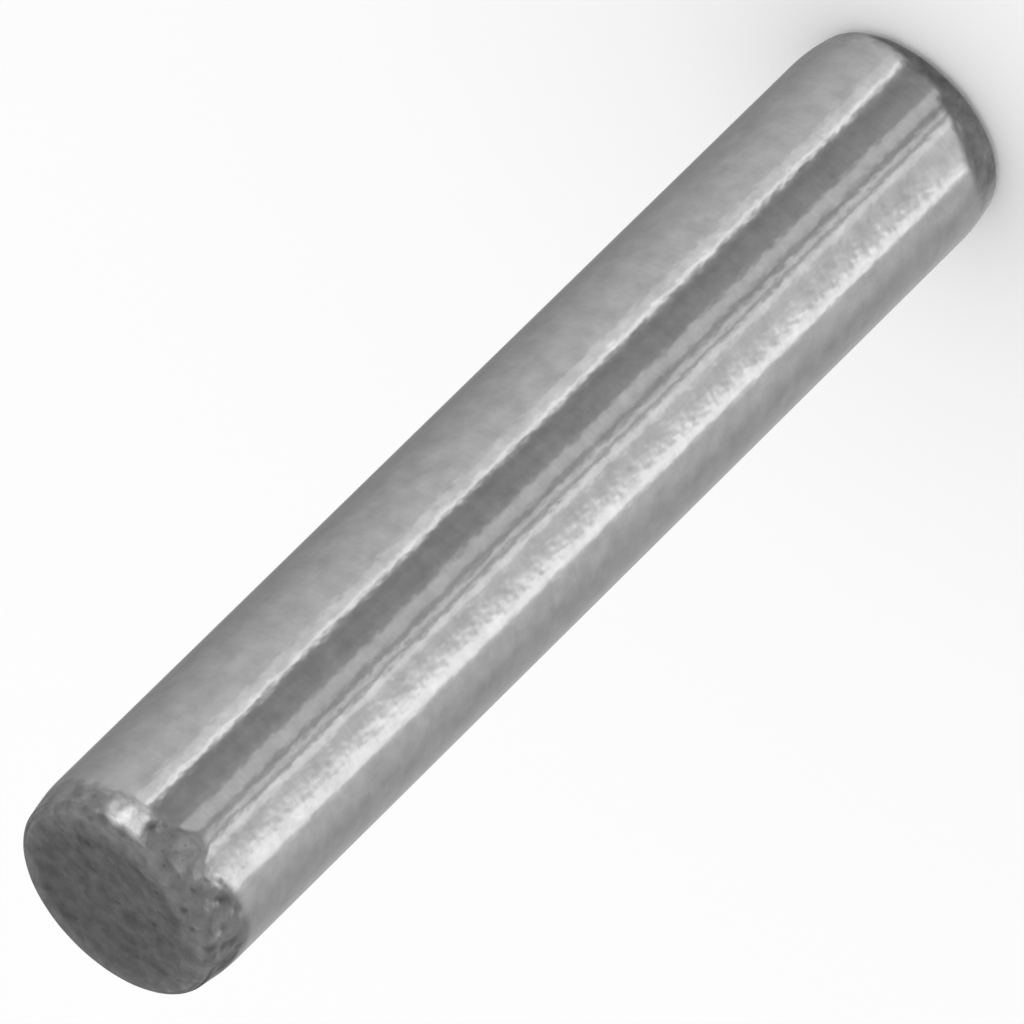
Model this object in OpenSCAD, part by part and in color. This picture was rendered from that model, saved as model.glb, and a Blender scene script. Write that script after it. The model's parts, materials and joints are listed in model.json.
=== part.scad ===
// Needle pin: a plain hardened steel pin, ground on its shank, with a long
// shallow lead-in taper, a rounded corner and a rolled shoulder at each end.
// Millimetres. The pin stands on one end face, with +Z along its axis.

/* [Pin] */
// Diameter of the ground shank
pin_d = 3; // [2:0.5:10]
// Length over both end faces
pin_l = 15.8; // [6:0.1:60]

/* [Ends] */
// Length of each lead-in taper, along the axis
taper_l = 0.45; // [0.3:0.05:1.2]
// How far the taper comes in on the radius, at its narrow end
taper_depth = 0.08; // [0.05:0.01:0.15]
// Radius of the soft run-out where the taper leaves the shank
runout_r = 1.8; // [0.2:0.1:2]
// Width of the rolled shoulder round each end face, along the radius
shoulder_w = 0.42; // [0.15:0.01:0.5]
// How far the shoulder falls below the end face, at its outer edge
shoulder_drop = 0.03; // [0.01:0.005:0.06]
// Radius of the corner between the shoulder and the taper
corner_r = 0.14; // [0.04:0.01:0.2]

/* [Hidden] */

pin_r = pin_d / 2;
steel = [0.66, 0.66, 0.66];
round_fn = 96;
arc_step = 7; // degrees of turn in each straight of an arc, at most

// One end is worked out in its half section, with x along the radius and y up
// from the end face, so the face lies at y = 0. Going up, the outline turns
// from 0 degrees, where it faces outwards, to 90, where it faces upwards.
taper_angle = atan2(taper_depth, taper_l);
taper_out = [cos(taper_angle), sin(taper_angle)];
taper_up = [-sin(taper_angle), cos(taper_angle)];

// Sharp points that the roundings start from
taper_foot = [pin_r, -shoulder_drop - taper_l];
sharp_corner = [pin_r - taper_depth, -shoulder_drop];

// Run-out: an arc that touches the shank and the taper
runout_c = taper_foot - [runout_r, runout_r * tan(taper_angle / 2)];

// Shoulder: an arc that touches the end face and falls to the sharp corner
face_r = sharp_corner[0] - shoulder_w;
shoulder_r = (shoulder_w ^ 2 + shoulder_drop ^ 2) / (2 * shoulder_drop);
shoulder_c = [face_r, -shoulder_r];

// Corner: an arc that touches the taper, and the shoulder's arc from inside
corner_across = (sharp_corner - shoulder_c) * taper_out - corner_r;
corner_along = sqrt((shoulder_r - corner_r) ^ 2 - corner_across ^ 2);
corner_shift = corner_across * taper_out + corner_along * taper_up;
corner_c = shoulder_c + corner_shift;
corner_angle = atan2(corner_shift[1], corner_shift[0]);

// Points along an arc of radius r about c, from angle a0 to angle a1
function arc(c, r, a0, a1) =
    let (steps = ceil((a1 - a0) / arc_step))
    [for (i = [0:steps]) let (a = a0 + (a1 - a0) * i / steps) c + r * [cos(a), sin(a)]];

// Outline of one end, from the shank up to the rim of its face
end_outline = concat(
    arc(runout_c, runout_r, 0, taper_angle),
    arc(corner_c, corner_r, taper_angle, corner_angle),
    arc(shoulder_c, shoulder_r, corner_angle, 90)
);
last = len(end_outline) - 1;

// The same outline as the upper end, and turned over as the lower end
upper_end = [for (p = end_outline) [p[0], pin_l + p[1]]];
lower_end = [for (i = [last:-1:0]) [end_outline[i][0], -end_outline[i][1]]];

module needle_pin() {
    color(steel)
        rotate_extrude($fn = round_fn)
            polygon(concat([[0, 0]], lower_end, upper_end, [[0, pin_l]]));
}

needle_pin();
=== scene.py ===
"""Needle pin: a hardened and ground steel pin that stands on one end face.

The visible pin is one surface of revolution with the pin's real end profile and the slight unevenness that
barrel finishing leaves. It stands on a plain pale floor under a white sky, inside a light tent that only the
steel mirrors.

A turn is degrees round the Z axis from the side that faces the camera, clockwise as seen from above.
"""

import json
import math

import bpy
import numpy as np
from mathutils import Matrix, Vector


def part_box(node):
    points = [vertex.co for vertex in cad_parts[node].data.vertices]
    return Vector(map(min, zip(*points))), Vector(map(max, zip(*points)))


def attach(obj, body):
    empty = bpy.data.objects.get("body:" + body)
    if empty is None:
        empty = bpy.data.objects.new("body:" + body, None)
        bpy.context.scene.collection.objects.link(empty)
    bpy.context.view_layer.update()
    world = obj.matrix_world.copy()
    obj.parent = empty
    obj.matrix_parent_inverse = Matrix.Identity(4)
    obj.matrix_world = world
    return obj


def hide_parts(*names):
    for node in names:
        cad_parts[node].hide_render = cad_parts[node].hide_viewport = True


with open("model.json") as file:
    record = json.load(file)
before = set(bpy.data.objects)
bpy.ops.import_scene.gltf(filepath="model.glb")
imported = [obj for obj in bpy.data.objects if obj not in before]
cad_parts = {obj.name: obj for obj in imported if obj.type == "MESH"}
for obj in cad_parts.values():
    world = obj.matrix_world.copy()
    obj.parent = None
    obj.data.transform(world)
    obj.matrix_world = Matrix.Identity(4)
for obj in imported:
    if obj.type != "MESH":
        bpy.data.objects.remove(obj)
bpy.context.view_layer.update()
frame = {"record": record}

MM = 0.001

# ---------------------------------------------------------------- sizes, in metres, from the frame
low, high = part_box("needle_pin")
PIN_RADIUS = (high.x - low.x) / 2
PIN_LENGTH = high.z - low.z
MID_HEIGHT = (high.z + low.z) / 2
shank_mount = next(mount for mount in frame["record"]["mounts"] if mount["name"] == "shank")
SHANK_LENGTH = shank_mount["dims"]["length_mm"] * MM

# The end profile, with the sizes that the pin's source gives it
TAPER_LENGTH = 0.45 * MM
TAPER_DEPTH = 0.08 * MM
RUNOUT_RADIUS = 1.8 * MM
SHOULDER_WIDTH = 0.42 * MM
SHOULDER_DROP = 0.03 * MM
CORNER_RADIUS = 0.14 * MM

# Where the stretches of an end start and stop, along the axis from the pin's middle
SHANK_STOP = SHANK_LENGTH / 2
TAPER_START = PIN_LENGTH / 2 - SHOULDER_DROP - TAPER_LENGTH
TAPER_STOP = PIN_LENGTH / 2 - SHOULDER_DROP

# How many points the pin's surface has: round it, and along each stretch of its half section
PIN_COLUMNS = 480
SHANK_POINTS = 14
RUNOUT_POINTS = 12
TAPER_POINTS = 22
CORNER_POINTS = 20
SHOULDER_POINTS = 16
FACE_POINTS = 30


# ---------------------------------------------------------------- small helpers
def linear(hex_colour):
    """An sRGB hex colour as linear RGBA: a channel over 12.92 up to 0.04045, and a power of 2.4 above it."""
    channels = [int(hex_colour[start : start + 2], 16) / 255 for start in (1, 3, 5)]
    return tuple(c / 12.92 if c <= 0.04045 else ((c + 0.055) / 1.055) ** 2.4 for c in channels) + (1.0,)


def add_node(tree, kind, inputs=None, **settings):
    """Adds a node of a kind to a tree, with its settings, and links or sets its inputs by name or number.

    An input is a socket, a node whose first output is meant, or a value.
    """
    node = tree.nodes.new(kind)
    for name, value in settings.items():
        setattr(node, name, value)
    for name, value in (inputs or {}).items():
        if isinstance(value, bpy.types.Node):
            tree.links.new(value.outputs[0], node.inputs[name])
        elif isinstance(value, bpy.types.NodeSocket):
            tree.links.new(value, node.inputs[name])
        else:
            node.inputs[name].default_value = value
    return node


def new_material(name):
    """An empty node material and its node tree."""
    material = bpy.data.materials.new(name)
    material.use_nodes = True
    material.node_tree.nodes.clear()
    return material, material.node_tree


def new_object(name, points, faces, material):
    """A smooth mesh object at the origin, with its place in its points."""
    mesh = bpy.data.meshes.new(name)
    mesh.from_pydata(points, [], faces)
    mesh.polygons.foreach_set("use_smooth", [True] * len(mesh.polygons))
    mesh.materials.append(material)
    mesh.validate()
    mesh.update()
    obj = bpy.data.objects.new(name, mesh)
    bpy.context.scene.collection.objects.link(obj)
    return obj


def set_attribute(obj, name, values):
    """Gives each point of an object's mesh a number that its material reads by name."""
    obj.data.attributes.new(name, "FLOAT", "POINT").data.foreach_set("value", values)


def mix(first, second, share):
    """Goes from the first value to the second as the share goes from 0 to 1."""
    return first + (second - first) * share


def ramp_up(value, start, end):
    """Rises from 0 at start to 1 at end, as 3 t squared less 2 t cubed."""
    t = np.clip((value - start) / (end - start), 0, 1)
    return t * t * (3 - 2 * t)


def soft_step(value, edge, width):
    """Rises from 0 to 1 across an edge, over a width."""
    return ramp_up(value, edge - width / 2, edge + width / 2)


def soft_band(value, first, last, first_width, last_width=None):
    """1 between two soft edges and 0 outside them. The last edge is as wide as the first unless it says."""
    if last_width is None:
        last_width = first_width
    return soft_step(value, first, first_width) * soft_step(-value, -last, last_width)


def from_axis(points):
    """How far points lie from the Z axis: the root of x squared plus y squared."""
    return np.hypot(points[:, 0], points[:, 1])


def turn_of(points):
    """The turn of each point: the angle whose tangent is minus x over minus y, from -180 to 180 degrees."""
    return np.degrees(np.arctan2(-points[:, 0], -points[:, 1]))


# ---------------------------------------------------------------- surfaces of revolution
def arc(centre, radius, start, end, count):
    """Points on a circle about centre, from one angle to another, in radians."""
    angle = np.linspace(start, end, count)
    return np.stack([centre[0] + radius * np.cos(angle), centre[1] + radius * np.sin(angle)], axis=1)


def revolve(outline, columns):
    """Carries a half section round the Z axis: x and y are the radius times the angle's cosine and sine.

    The section's first and last points lie on the axis and become one point each, which closes both poles.
    Quads join each ring to the next, and the last column to the first. A fan of triangles joins each pole.
    """
    angle = np.linspace(0, 2 * math.pi, columns, endpoint=False)
    radius = outline[1:-1, 0:1]
    height = outline[1:-1, 1:2]
    rings = np.stack([radius * np.cos(angle), radius * np.sin(angle), height + 0 * angle], axis=-1)
    poles = [[0, 0, outline[0, 1]], [0, 0, outline[-1, 1]]]
    points = np.concatenate([rings.reshape(-1, 3), poles])
    rows = len(outline) - 2
    column = np.arange(columns)
    beside = (column + 1) % columns
    ring = np.arange(rows - 1)[:, None] * columns
    next_ring = ring + columns
    quads = np.stack([ring + column, ring + beside, next_ring + beside, next_ring + column], axis=-1)
    top_ring = (rows - 1) * columns
    bottom_fan = np.stack([beside, column, np.full(columns, len(points) - 2)], axis=1)
    top_fan = np.stack([top_ring + column, top_ring + beside, np.full(columns, len(points) - 1)], axis=1)
    return points, quads.reshape(-1, 4).tolist() + bottom_fan.tolist() + top_fan.tolist()


def end_outline():
    """Half section of one end as radius and height above the end face, from the shank to the face's middle.

    The outline turns from facing outwards to facing upwards in three arcs. The run-out touches the shank and
    the taper, the corner touches the taper and the shoulder, and the shoulder touches the flat face. The
    corner's centre lies a corner radius inside the taper, and inside the shoulder's arc.
    """
    taper = math.atan2(TAPER_DEPTH, TAPER_LENGTH)
    out = np.array([math.cos(taper), math.sin(taper)])
    up = np.array([-math.sin(taper), math.cos(taper)])
    foot = np.array([PIN_RADIUS, -SHOULDER_DROP - TAPER_LENGTH])
    runout_centre = foot - [RUNOUT_RADIUS, RUNOUT_RADIUS * math.tan(taper / 2)]
    sharp_corner = np.array([PIN_RADIUS - TAPER_DEPTH, -SHOULDER_DROP])
    face_radius = sharp_corner[0] - SHOULDER_WIDTH
    shoulder_radius = (SHOULDER_WIDTH**2 + SHOULDER_DROP**2) / (2 * SHOULDER_DROP)
    shoulder_centre = np.array([face_radius, -shoulder_radius])
    across = (sharp_corner - shoulder_centre) @ out - CORNER_RADIUS
    along = math.sqrt((shoulder_radius - CORNER_RADIUS) ** 2 - across**2)
    shift = across * out + along * up
    corner = math.atan2(shift[1], shift[0])
    runout = arc(runout_centre, RUNOUT_RADIUS, 0, taper, RUNOUT_POINTS)
    corner_arc = arc(shoulder_centre + shift, CORNER_RADIUS, taper, corner, CORNER_POINTS)
    taper_line = np.linspace(runout[-1], corner_arc[0], TAPER_POINTS)[1:-1]
    shoulder = arc(shoulder_centre, shoulder_radius, corner, math.pi / 2, SHOULDER_POINTS)[1:]
    face = np.stack([np.linspace(face_radius, 0, FACE_POINTS)[1:], np.zeros(FACE_POINTS - 1)], axis=1)
    return np.concatenate([runout, taper_line, corner_arc, shoulder, face])


def pin_outline():
    """Half section of the whole pin as radius and height, from the lower face's middle to the upper's."""
    end = end_outline()
    lower = np.stack([end[::-1, 0], low.z - end[::-1, 1]], axis=1)
    upper = np.stack([end[:, 0], high.z + end[:, 1]], axis=1)
    shank = np.linspace(lower[-1], upper[0], SHANK_POINTS)[1:-1]
    return np.concatenate([lower, shank, upper])


# ---------------------------------------------------------------- the pin's wear
# The dull finish of the ends starts just before the taper and is complete just past its start
DULL_START = TAPER_START - 0.02 * MM
DULL_FULL = TAPER_START + 0.06 * MM

# The upper end starts to be battered at this distance from the axis, and is fully battered from the next on
BATTERED_START = 0.8 * MM
BATTERED_FULL = 1.2 * MM
# How battered its edge is at least, and where it is fully so: first and last turn, and how wide each edge is
BATTERED_LEAST = 0.3
BATTERED_SIDE = (12, 85, 40, 30)

# Strips along the shank where rolling has deepened the grinding marks: first and last turn, how wide each
# edge is, and how deep the marks are. The strips fade in between these heights above the lower face.
RUBBED_STRIPS = [(17, 33, 6, 8, 1.12), (-32, -24, 5, 5, 0.6), (-30, 30, 8, 8, 0.18)]
RUBBED_START = 0.9 * MM
RUBBED_FULL = 1.8 * MM

# Lumps on the tapers and shoulders: how many waves make them, the shortest and the longest, and the seed.
# Their height is a share of a wave's length, a larger one where the end is battered. They fade in between
# these distances from the axis.
LUMP_WAVES = (40, 0.12 * MM, 0.5 * MM, 5)
LUMP_HEIGHT = 0.003
LUMP_HEIGHT_BATTERED = 0.007
LUMPS_START = PIN_RADIUS - 0.45 * MM
LUMPS_FULL = PIN_RADIUS - 0.15 * MM

# Where each taper's rim wanders: turn, how many degrees wide, and how many millimetres towards the end face.
# The shank moves with it from the first of these places on, and the taper less and less from the second.
UPPER_RIM = [(-55, 30, -0.01), (9, 9, -0.13), (20, 9, 0.20), (62, 35, -0.15), (150, 50, 0.04)]
LOWER_RIM = [(-42, 26, 0.15), (6, 16, 0.11), (48, 28, -0.07), (140, 50, 0.05)]
RIM_START = SHANK_STOP - 1.5 * MM
RIM_FADES = PIN_LENGTH / 2 - 0.35 * MM

# How far tumbling has rounded each end down at its edge
CAMBER = 0.014 * MM

# Nicks in the upper taper, shoulder and face: turn, millimetres from the axis and down from the face, and
# how wide and deep in millimetres. They all go in towards a place on the axis, this far below the face.
NICKS = [
    (-42, 1.36, 0.01, 0.05, 0.006),
    (-37, 1.43, 0.04, 0.11, 0.009),
    (-22, 1.44, 0.05, 0.10, 0.012),
    (-12, 1.48, 0.30, 0.08, 0.005),
    (-51, 0.93, 0.00, 0.04, 0.003),
    (55, 0.64, 0.00, 0.035, 0.002),
    (22, 1.44, 0.22, 0.05, 0.006),
    (31, 1.27, 0.01, 0.06, 0.012),
    (44, 1.25, 0.01, 0.05, 0.010),
    (36, 1.465, 0.33, 0.08, 0.012),
    (41, 1.43, 0.13, 0.05, 0.014),
    (46, 1.47, 0.42, 0.05, 0.008),
    (51, 1.45, 0.22, 0.05, 0.010),
    (57, 1.42, 0.06, 0.07, 0.016),
    (63, 1.44, 0.18, 0.08, 0.020),
    (65, 1.46, 0.30, 0.08, 0.020),
    (71, 1.47, 0.38, 0.05, 0.010),
]
NICKS_TOWARDS = 0.9 * MM


def from_middle(points):
    """How far points lie from the pin's middle, along its axis."""
    return np.abs(points[:, 2] - MID_HEIGHT)


def into_end(points):
    """How far points lie into the dull ends: 0 on the shank, rising to 1 as a taper starts."""
    return ramp_up(from_middle(points), DULL_START, DULL_FULL)


def battered(points):
    """How battered points are: most on one side of the upper end's edge, and not at all on the lower end."""
    upper = points[:, 2] > MID_HEIGHT
    at_edge = ramp_up(from_axis(points), BATTERED_START, BATTERED_FULL)
    worst_side = soft_band(turn_of(points), *BATTERED_SIDE)
    return upper * at_edge * mix(BATTERED_LEAST, 1, worst_side)


def rubbed(points):
    """How much deeper the grinding marks are: the deepest of the strips at a point, faded in from below."""
    turn = turn_of(points)
    strips = [depth * soft_band(turn, *edges) for *edges, depth in RUBBED_STRIPS]
    return np.maximum.reduce(strips) * ramp_up(points[:, 2], low.z + RUBBED_START, low.z + RUBBED_FULL)


def waves(points, count, shortest, longest, seed):
    """A sum of plane waves that cross at random: each is the cosine of a point's run in its own direction.

    The lengths lie evenly between the shortest and the longest, and a wave's height is its length, so that
    every wave is as steep as the others. Over the root of the count, the sum is about as high as one wave.
    """
    random = np.random.default_rng(seed)
    direction = random.normal(size=(count, 3))
    direction /= np.linalg.norm(direction, axis=1, keepdims=True)
    length = np.linspace(shortest, longest, count)
    phase = random.uniform(0, 2 * math.pi, count)
    run = points @ (direction * 2 * math.pi / length[:, None]).T
    return (np.cos(run + phase) * length).sum(axis=1) / math.sqrt(count)


def lumps(points):
    """How far the lumps stand out: the waves times the lumps' height, and 0 on the shank and flat faces."""
    height = waves(points, *LUMP_WAVES) * mix(LUMP_HEIGHT, LUMP_HEIGHT_BATTERED, battered(points))
    return height * into_end(points) * ramp_up(from_axis(points), LUMPS_START, LUMPS_FULL)


def rim_wander(turn, bells):
    """How far a rim lies towards its end face: a sum of bell curves of the turn between it and each bell."""
    total = 0 * turn
    for middle, width, rise in bells:
        apart = np.degrees(np.angle(np.exp(1j * np.radians(turn - middle))))
        total += rise * MM * np.exp(-((apart / width) ** 2))
    return total


def in_nicks(points):
    """How far points lie into each nick, as a bell curve of the distance from its middle."""
    inside = []
    for turn, radius, down, width, _ in NICKS:
        angle = math.radians(turn)
        middle = [-math.sin(angle) * radius * MM, -math.cos(angle) * radius * MM, high.z - down * MM]
        inside.append(np.exp(-((np.linalg.norm(points - middle, axis=1) / (width * MM)) ** 2)))
    return np.stack(inside, axis=1)


def wear(points):
    """The points as tumbling leaves them, with lumps, wandering rims, rounded ends and nicks.

    A lump moves a point out from the axis, and a rim moves it along the axis, less and less off the rim. An
    end sinks by the camber times the square of the distance from the axis over the pin's radius. A nick
    moves a point in by the nick's depth times how far the point lies into it.
    """
    away = from_middle(points)
    upper = points[:, 2] > MID_HEIGHT
    turn = turn_of(points)
    # The two points on the axis have no outward direction, so their distance from it is held above zero
    nearly_zero = 1e-6 * MM
    outwards = points[:, :2] / np.maximum(from_axis(points), nearly_zero)[:, None]
    worn = points.copy()
    worn[:, :2] += outwards * lumps(points)[:, None]
    at_rim = ramp_up(away, RIM_START, SHANK_STOP) * (1 - ramp_up(away, RIM_FADES, TAPER_STOP))
    worn[:, 2] += np.where(upper, rim_wander(turn, UPPER_RIM), -rim_wander(turn, LOWER_RIM)) * at_rim
    sunk = CAMBER * (from_axis(points) / PIN_RADIUS) ** 2 * ramp_up(away, 0, SHANK_STOP)
    worn[:, 2] -= np.where(upper, sunk, -sunk)
    inwards = [0, 0, high.z - NICKS_TOWARDS] - points
    inwards /= np.linalg.norm(inwards, axis=1, keepdims=True)
    depths = [depth * MM for *_, depth in NICKS]
    return worn + inwards * (in_nicks(points) @ depths)[:, None]


# ---------------------------------------------------------------- the pin
def pin_steel():
    """Through-hardened bearing steel, centreless ground, then barrel finished.

    Grinding leaves a fine lay round the shank, which shows as faint lines and breaks its mirror image up
    into short flecks. Barrel finishing adds a shallow dimpling. The tapers and end faces are not ground:
    they stay duller, mottled and finely pitted.

    Height, roughness and tone are each a number plus patterns times their weights. The height goes from the
    ground shank's to the rough ends' with the end attribute. The colour is a light grey times the tone, and
    the tone holds painted shade in the nicks.
    """
    material, tree = new_material("ground_bearing_steel")
    place = add_node(tree, "ShaderNodeTexCoord").outputs["Object"]
    attributes = ("end", "battered", "rubbed", "painted_nick_shade")
    nodes = [add_node(tree, "ShaderNodeAttribute", attribute_name=name) for name in attributes]
    end, knocks, strips, painted_nick_shade = [node.outputs["Fac"] for node in nodes]

    def sum_of(base, *terms):
        """A base plus each pattern times its weight. All of them are nodes, sockets or numbers."""
        for pattern, weight in terms:
            inputs = {0: pattern, 1: weight, 2: base}
            base = add_node(tree, "ShaderNodeMath", inputs, operation="MULTIPLY_ADD")
        return base

    def marks(wide, tall, detail, distortion=0.0):
        """Noise about zero whose grains are this many millimetres across the pin and along it."""
        grains = (1 / wide, 1 / wide, 1 / tall)
        scaled = add_node(tree, "ShaderNodeMapping", {"Vector": place, "Scale": grains})
        inputs = {"Vector": scaled, "Scale": 1 / MM, "Detail": detail, "Distortion": distortion}
        return sum_of(-0.5, (add_node(tree, "ShaderNodeTexNoise", inputs), 1.0))

    # Real grinding marks, dimples and pits are 0.005 to 0.03 mm wide, which is too fine to show. They are
    # drawn as coarse as they need to show. Lobes are long low ridges that grinding leaves along the shank.
    flecks = marks(0.14, 0.20, 1)
    dimples = marks(0.35, 0.35, 1)
    lobes = marks(0.08, 0.6, 1)
    pebbles = marks(0.24, 0.24, 2, 0.2)
    clouds = marks(0.30, 0.30, 3)
    blotches = marks(0.20, 0.20, 3, 0.4)
    lay = marks(0.5, 0.05, 1)
    pits = marks(0.10, 0.10, 1, 0.5)

    # Heights in microns. The flecks are higher in the rubbed strips, and the pebbles where it is battered.
    fleck_height = sum_of(2.0, (strips, 5.5))
    pebble_height = sum_of(2.5, (knocks, 6.0))
    ground = sum_of(0.0, (flecks, fleck_height), (dimples, 2.2), (lobes, 0.4))
    rough = sum_of(0.0, (pebbles, pebble_height))
    height = add_node(tree, "ShaderNodeMix", {0: end, 2: ground, 3: rough}, data_type="FLOAT")
    micron = 0.001 * MM
    relief = add_node(tree, "ShaderNodeBump", {"Height": height, "Distance": micron, "Strength": 1.0})

    # A ground shank mirrors nearly sharply, and the unground ends are a little duller
    roughness = sum_of(0.14, (end, 0.06))

    # Clouds, blotches and the lay lighten and darken the steel, and pits only darken it. The nicks are
    # darkened by painted shade. The ends are more blotched than the shank, and only they have pits, where
    # the noise is above a level.
    blotchiness = sum_of(0.20, (end, 0.95))
    pit_level = 0.18
    in_pits = add_node(tree, "ShaderNodeMath", {0: pits, 1: pit_level}, operation="SUBTRACT", use_clamp=True)
    pitted = sum_of(0.0, (in_pits, end))
    # The darkening in the nicks is painted shade.
    tone = sum_of(1.0, (clouds, 0.5), (blotches, blotchiness), (lay, 0.1), (pitted, -3.0), (painted_nick_shade, -0.4))
    steel_grey = linear("#A4A4A4")[:3]
    colour = add_node(tree, "ShaderNodeVectorMath", {0: steel_grey, "Scale": tone}, operation="SCALE")

    finish = {"Base Color": colour, "Metallic": 1.0, "Roughness": roughness, "Normal": relief}
    shader = add_node(tree, "ShaderNodeBsdfPrincipled", finish)
    add_node(tree, "ShaderNodeOutputMaterial", {"Surface": shader})
    return material


def make_pin():
    """The worn pin, with how dull, battered and rubbed each point is for its steel to read.

    Its steel also reads how far each point lies into a nick, which it darkens as painted shade.
    """
    points, faces = revolve(pin_outline(), PIN_COLUMNS)
    pin = new_object("ground_pin", wear(points), faces, pin_steel())
    set_attribute(pin, "end", into_end(points))
    set_attribute(pin, "battered", battered(points))
    set_attribute(pin, "rubbed", rubbed(points))
    # How far each point lies into a nick, which the steel darkens as painted shade
    set_attribute(pin, "painted_nick_shade", in_nicks(points).max(axis=1))
    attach(pin, "root")
    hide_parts("needle_pin")


# ---------------------------------------------------------------- the floor
FLOOR_RADIUS = 0.25
FLOOR_SIDES = 96


def pale_floor():
    """Matt white laminate, which takes the pin's soft shadow."""
    material, tree = new_material("pale_floor")
    shader = add_node(tree, "ShaderNodeBsdfDiffuse", {"Color": linear("#FEFEFE")})
    add_node(tree, "ShaderNodeOutputMaterial", {"Surface": shader})
    return material


def make_floor():
    """A round flat floor at the height of the pin's lower face, with its points on one circle.

    The steel mirrors the lower half of the tent through it.
    """
    angle = np.linspace(0, 2 * math.pi, FLOOR_SIDES, endpoint=False)
    x = FLOOR_RADIUS * np.cos(angle)
    y = FLOOR_RADIUS * np.sin(angle)
    circle = np.stack([x, y, 0 * angle + low.z], axis=1)
    floor = new_object("floor", circle, [list(range(FLOOR_SIDES))], pale_floor())
    floor.visible_glossy = False


# ---------------------------------------------------------------- the light tent
# A place on the tent is a turn and a height, which is its degrees above the horizon. Edges are soft, and how
# wide they are is in degrees too. The lamp's side has the turns below 0, and the panel's side those above.
TENT_RADIUS = 0.5
TENT_COLUMNS = 720
TENT_ROWS = 181

# The belt's cloth: how bright it starts behind the pin on the lamp's side, and the soft steps by which its
# light changes on the way round past the front: the turn of each, how wide it is, and the change
CLOTH_START = 0.32
CLOTH_STEPS = [
    (-120, 110, 0.65),
    (-60, 120, 0.15),
    (33, 6, 0.08),
    (68, 60, -0.22),
    (102, 30, -0.27),
    (135, 60, -0.09),
]
# How bright it is straight behind the pin, and the soft edge on each side where that begins
CLOTH_BEHIND = 0.45
CLOTH_BEHIND_EDGE = (168, 24)
# Strips and gaps laid over it one after another: first and last turn, how wide the edges are, and how bright
STRIPS = [
    (-57, -38, 5, 1.40),
    (-45.1, -41.6, 2, 2.5),
    (-40, -7.2, 6, 0.47),
    (-28, -7.2, 4, 0.53),
    (-15, -7.2, 4, 0.60),
    (7.4, 13.8, 3, 0.62),
    (15.5, 19.4, 2, 1.45),
    (19.4, 22.7, 1.5, 0.60),
    (23.6, 31, 3, 1.78),
    (46, 75.2, 12, 1.28),
]
# The strips fan out downwards: at these heights they stand this many times as far round
FAN_HEIGHTS = [-56, -31, -6]
FAN_SPREAD = [1.25, 1.0, 0.93]
# A bright panel. Its first edge slants: it lies at this turn at this height, and its turn changes by the
# slant for each degree up. Its last edge is upright and sharper.
PANEL_FIRST = 55.5
PANEL_FIRST_HEIGHT = -31
PANEL_SLANT = -3.0
PANEL_LAST = 75
PANEL_EDGES = (9, 1)
# How bright the panel is on either side of an edge inside it: the edge's turn and how wide it is
PANEL_LIGHT = 2.1
PANEL_LIGHT_BEYOND = 2.25
PANEL_INNER_EDGE = (68, 6)
# Creases: degrees of wave for each degree up and each degree round, how deep the wave is, and from which
# turn to which it goes, with how wide the edges are
CREASE_UP = 40
CREASE_ROUND = 20
CREASE_DEPTH = 0.08
CREASED = (-41, 77, 6)

# The belt's bottom and top lie at other heights in each of four sectors: behind the pin on the lamp's side,
# the lamp's side, the panel's side, and behind the pin on the panel's side. Soft edges part the sectors.
SECTOR_EDGES = (-110, 0, 110)
SECTOR_EDGE_WIDTH = 20
BELT_BOTTOM = (-48.5, -48.5, -38.5, -38.5)
BELT_TOP = (-24, -17, -24, -27)
BELT_TOP_WIDTH = (5, 5, 9, 4)
BELT_BOTTOM_WIDTH = 6

# The dim cloth above and below the belt has an opening behind the pin, just below the place that the upper
# end face mirrors: the opening's place, degrees from there, and how bright the cloth is at each
OPENING_TURN = 181.15
OPENING_HEIGHT = 28
OPENING_DISTANCES = [0, 3, 8, 12, 20, 33]
OPENING_LIGHT = [0.10, 0.19, 0.39, 0.47, 0.46, 0.44]

# A patch is its first and last turn with how wide those edges are, and the same for its heights. An edge
# past 180 round, or past 90 up or down, is never met.

# A glow and a shade beside the belt, and how much light they add and take off
GLOW_BY_BELT = ((10, 34, 8), (-20, -8, 5))
GLOW_BY_BELT_LIGHT = 0.3
SHADE_BY_BELT = ((-105, 0, 15), (-22, -13, 5))
SHADE_BY_BELT_LIGHT = 0.14
# Two shades behind the pin, on both sides alike, and the share of the light that they take off. The low one
# takes one share on the lamp's side and another on the panel's, with a soft edge between.
SHADE_BEHIND_LOW = ((135, 360, 40), (-30, -8, 10, 5))
SHADE_BEHIND_LOW_SHARES = (0.4, 0.65)
SHADE_BEHIND_LOW_EDGE = (0, 90)
SHADE_BEHIND_HIGH = ((150, 360, 15), (-2, 16, 8))
SHADE_BEHIND_HIGH_SHARE = 0.4
# A shade underneath the pin, on both sides alike. It takes off more light on the lamp's side.
SHADE_UNDERNEATH = ((-360, 130, 40), (-180, -40, 12))
SHADE_UNDERNEATH_LIGHT = (0.18, 0.09)
SHADE_UNDERNEATH_EDGE = (20, 40)
# A glow overhead on the lamp's side: the edges of its height, of its distance from the opening and of the
# sine of its turn towards the lamp, each with how wide it is, and how much light it adds
OVERHEAD_HEIGHT = (37, 16)
OVERHEAD_DISTANCE = (12, 10)
OVERHEAD_SIDE = (0.05, 0.4)
OVERHEAD_LIGHT = 0.09

# A lamp shines through the cloth in one patch: heights, and how bright it is at each. Its folds are a wave
# of so many degrees for each degree round and each degree up, and so deep.
LAMP = ((-66, -26, 22, 8), (-13, 42, 5, 60))
LAMP_HEIGHTS = [-5, 15]
LAMP_LIGHT = [2.7, 2.0]
FOLD_ROUND = 24
FOLD_UP = -9
FOLD_DEPTH = 0.25


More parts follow.
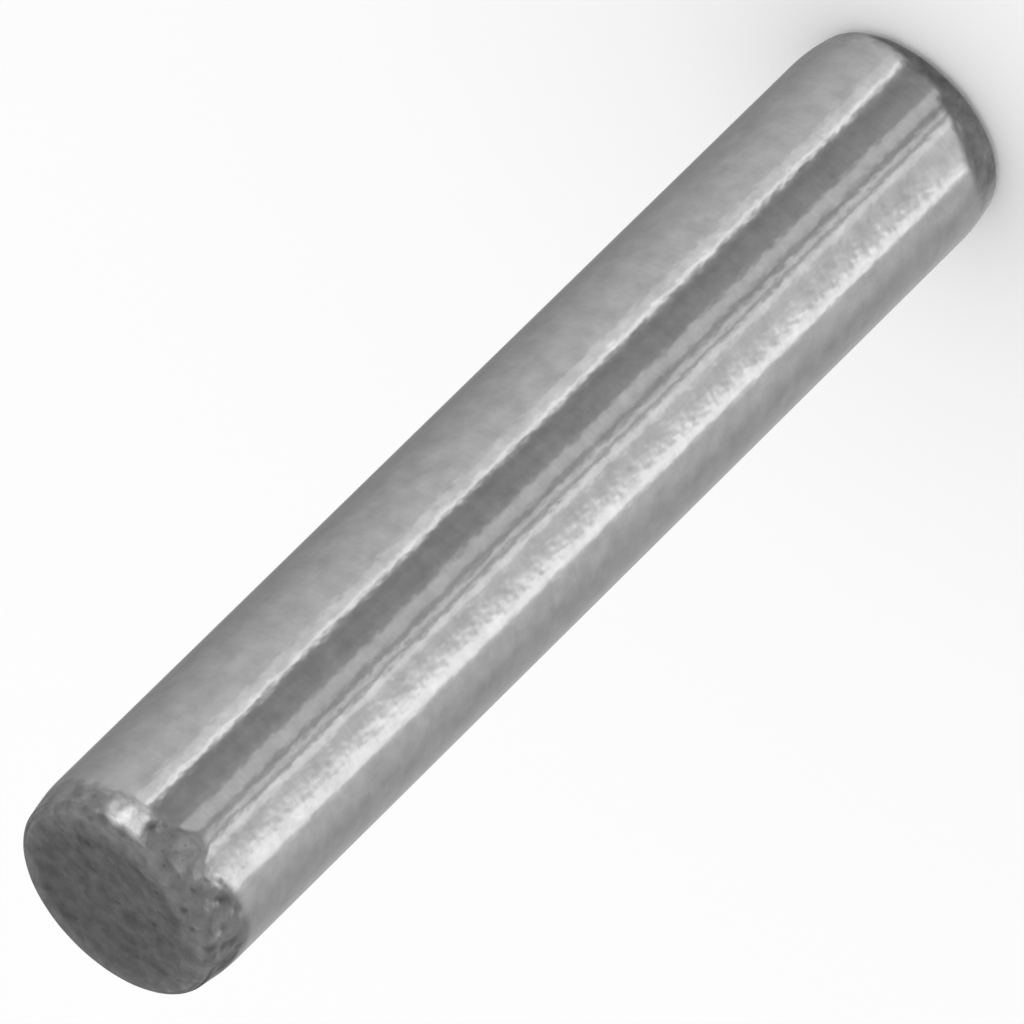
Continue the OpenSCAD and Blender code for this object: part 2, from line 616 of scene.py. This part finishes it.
def in_patch(turn, height, turns, heights):
    """1 in a patch and 0 outside it: a soft band of turns times a soft band of heights."""
    return soft_band(turn, *turns) * soft_band(height, *heights)


def by_sector(turn, values):
    """A value for each of the four sectors, with soft steps from each to the next."""
    result = values[0]
    for edge, before, after in zip(SECTOR_EDGES, values, values[1:]):
        result = result + (after - before) * soft_step(turn, edge, SECTOR_EDGE_WIDTH)
    return result


def in_belt(turn, height):
    """1 in the belt below the horizon and 0 elsewhere: a soft band of heights that changes by sector."""
    bottom = by_sector(turn, BELT_BOTTOM)
    top = by_sector(turn, BELT_TOP)
    return soft_band(height, bottom, top, BELT_BOTTOM_WIDTH, by_sector(turn, BELT_TOP_WIDTH))


def cloth_light(turn):
    """How bright the belt's cloth is: its start plus its soft steps, mixed with its light behind the pin."""
    light = CLOTH_START + sum(change * soft_step(turn, edge, width) for edge, width, change in CLOTH_STEPS)
    return mix(light, CLOTH_BEHIND, soft_step(np.abs(turn), *CLOTH_BEHIND_EDGE))


def belt_light(turn, height):
    """How bright the belt is: its cloth's light, mixed with each strip's and then the panel's, and creased.

    The strips and the panel lie at the turn over the fan's spread. The creases are a sine wave of turn and
    height together.
    """
    fanned = turn / np.interp(height, FAN_HEIGHTS, FAN_SPREAD)
    light = cloth_light(turn)
    for first, last, width, strip_light in STRIPS:
        light = mix(light, strip_light, soft_band(fanned, first, last, width))
    panel_first = PANEL_FIRST + PANEL_SLANT * (height - PANEL_FIRST_HEIGHT)
    panel_light = mix(PANEL_LIGHT, PANEL_LIGHT_BEYOND, soft_step(fanned, *PANEL_INNER_EDGE))
    light = mix(light, panel_light, soft_band(fanned, panel_first, PANEL_LAST, *PANEL_EDGES))
    creases = np.sin(np.radians(CREASE_UP * height + CREASE_ROUND * fanned)) * soft_band(fanned, *CREASED)
    return light * (1 + CREASE_DEPTH * creases)


def from_opening(turn, height):
    """Degrees from the opening, as on a globe.

    Their cosine is the product of the heights' sines, plus the product of the heights' cosines and the
    cosine of the turn between.
    """
    climb = np.radians(height)
    opening = math.radians(OPENING_HEIGHT)
    between = np.cos(np.radians(turn - OPENING_TURN))
    cosine = np.sin(climb) * math.sin(opening) + np.cos(climb) * math.cos(opening) * between
    return np.degrees(np.arccos(np.clip(cosine, -1, 1)))


def dim_light(turn, height):
    """How bright the dim cloth is: by its distance from the opening, plus the glows and less the shades."""
    distance = from_opening(turn, height)
    light = np.interp(distance, OPENING_DISTANCES, OPENING_LIGHT)
    overhead = soft_step(height, *OVERHEAD_HEIGHT) * soft_step(distance, *OVERHEAD_DISTANCE)
    light += OVERHEAD_LIGHT * overhead * soft_step(-np.sin(np.radians(turn)), *OVERHEAD_SIDE)
    off_front = np.abs(turn)
    share = mix(*SHADE_BEHIND_LOW_SHARES, soft_step(turn, *SHADE_BEHIND_LOW_EDGE))
    light *= 1 - share * in_patch(off_front, height, *SHADE_BEHIND_LOW)
    light *= 1 - SHADE_BEHIND_HIGH_SHARE * in_patch(off_front, height, *SHADE_BEHIND_HIGH)
    underneath = mix(*SHADE_UNDERNEATH_LIGHT, soft_step(turn, *SHADE_UNDERNEATH_EDGE))
    light -= underneath * in_patch(off_front, height, *SHADE_UNDERNEATH)
    light -= SHADE_BY_BELT_LIGHT * in_patch(turn, height, *SHADE_BY_BELT)
    light += GLOW_BY_BELT_LIGHT * in_patch(turn, height, *GLOW_BY_BELT)
    return light


def in_lamp(turn, height):
    """1 in the lamp's patch and 0 outside it, less the cosine wave of its folds."""
    folds = np.cos(np.radians(FOLD_ROUND * turn + FOLD_UP * height))
    return in_patch(turn, height, *LAMP) * (1 - FOLD_DEPTH * (1 - folds))


def tent_light(turn, height):
    """How bright the tent is: the dim cloth's light, mixed with the belt's and then with the lamp's.

    The bright belt lies below the horizon, which is what the standing shank mirrors.
    """
    light = mix(dim_light(turn, height), belt_light(turn, height), in_belt(turn, height))
    return mix(light, np.interp(height, LAMP_HEIGHTS, LAMP_LIGHT), in_lamp(turn, height))


def tent_cloth():
    """White cloth lit from outside, which glows as brightly as its light attribute says."""
    material, tree = new_material("tent_cloth")
    light = add_node(tree, "ShaderNodeAttribute", attribute_name="light").outputs["Fac"]
    glow = add_node(tree, "ShaderNodeEmission", {"Strength": light})
    add_node(tree, "ShaderNodeOutputMaterial", {"Surface": glow})
    material.cycles.emission_sampling = "NONE"
    return material


def make_tent():
    """A sphere of cloth about the pin's middle: a half circle carried round the axis.

    A point's height is the angle whose tangent is its rise over its distance from the axis. The tent shows
    only in mirror images: the camera, the floor's light and the shadows pass through it.
    """
    half_circle = arc((0, MID_HEIGHT), TENT_RADIUS, -math.pi / 2, math.pi / 2, TENT_ROWS)
    points, faces = revolve(half_circle, TENT_COLUMNS)
    height = np.degrees(np.arctan2(points[:, 2] - MID_HEIGHT, from_axis(points)))
    tent = new_object("light_tent", points, faces, tent_cloth())
    set_attribute(tent, "light", tent_light(turn_of(points), height))
    tent.visible_camera = False
    tent.visible_diffuse = False
    tent.visible_shadow = False


# ---------------------------------------------------------------- sky and camera
def make_sky():
    """A plain white sky at a strength of 1, at which colours render as they are written."""
    world = bpy.data.worlds.new("white_sky")
    world.use_nodes = True
    sky = world.node_tree.nodes["Background"]
    sky.inputs["Color"].default_value = (1, 1, 1, 1)
    sky.inputs["Strength"].default_value = 1.0
    world.cycles.sampling_method = "NONE"
    bpy.context.scene.world = world


def make_camera():
    """A long lens above the pin, rolled so that the pin lies across the view from corner to corner.

    Its distance is the lens over the sensor times the width of what it sees at the pin. It stands aside a
    little, so that the pin's middle lies right of the view's middle and above it.
    """
    lens = 650.0
    sensor = 36.0
    elevation = math.radians(31.4)
    roll = math.radians(44.5)
    width_at_pin = 12.367 * MM
    pin_right = 0.0676 * MM
    pin_above = 0.0737 * MM
    distance = lens / sensor * width_at_pin
    back = Vector((0, -math.cos(elevation), math.sin(elevation)))
    along = Vector((0, -math.sin(elevation), -math.cos(elevation)))
    across = Vector((-1, 0, 0))
    right = math.cos(roll) * along + math.sin(roll) * across
    up = math.sin(roll) * along - math.cos(roll) * across
    data = bpy.data.cameras.new("camera")
    data.lens = lens
    data.sensor_width = sensor
    data.clip_start = 0.01
    data.clip_end = 5
    camera = bpy.data.objects.new("camera", data)
    place = Vector((0, 0, MID_HEIGHT)) + distance * back - pin_right * right - pin_above * up
    axes = Matrix((right, up, back)).transposed()
    camera.matrix_world = Matrix.Translation(place) @ axes.to_4x4()
    bpy.context.scene.collection.objects.link(camera)
    bpy.context.scene.camera = camera


make_pin()
make_floor()
make_tent()
make_sky()
make_camera()
bpy.context.scene.view_settings.view_transform = "Standard"
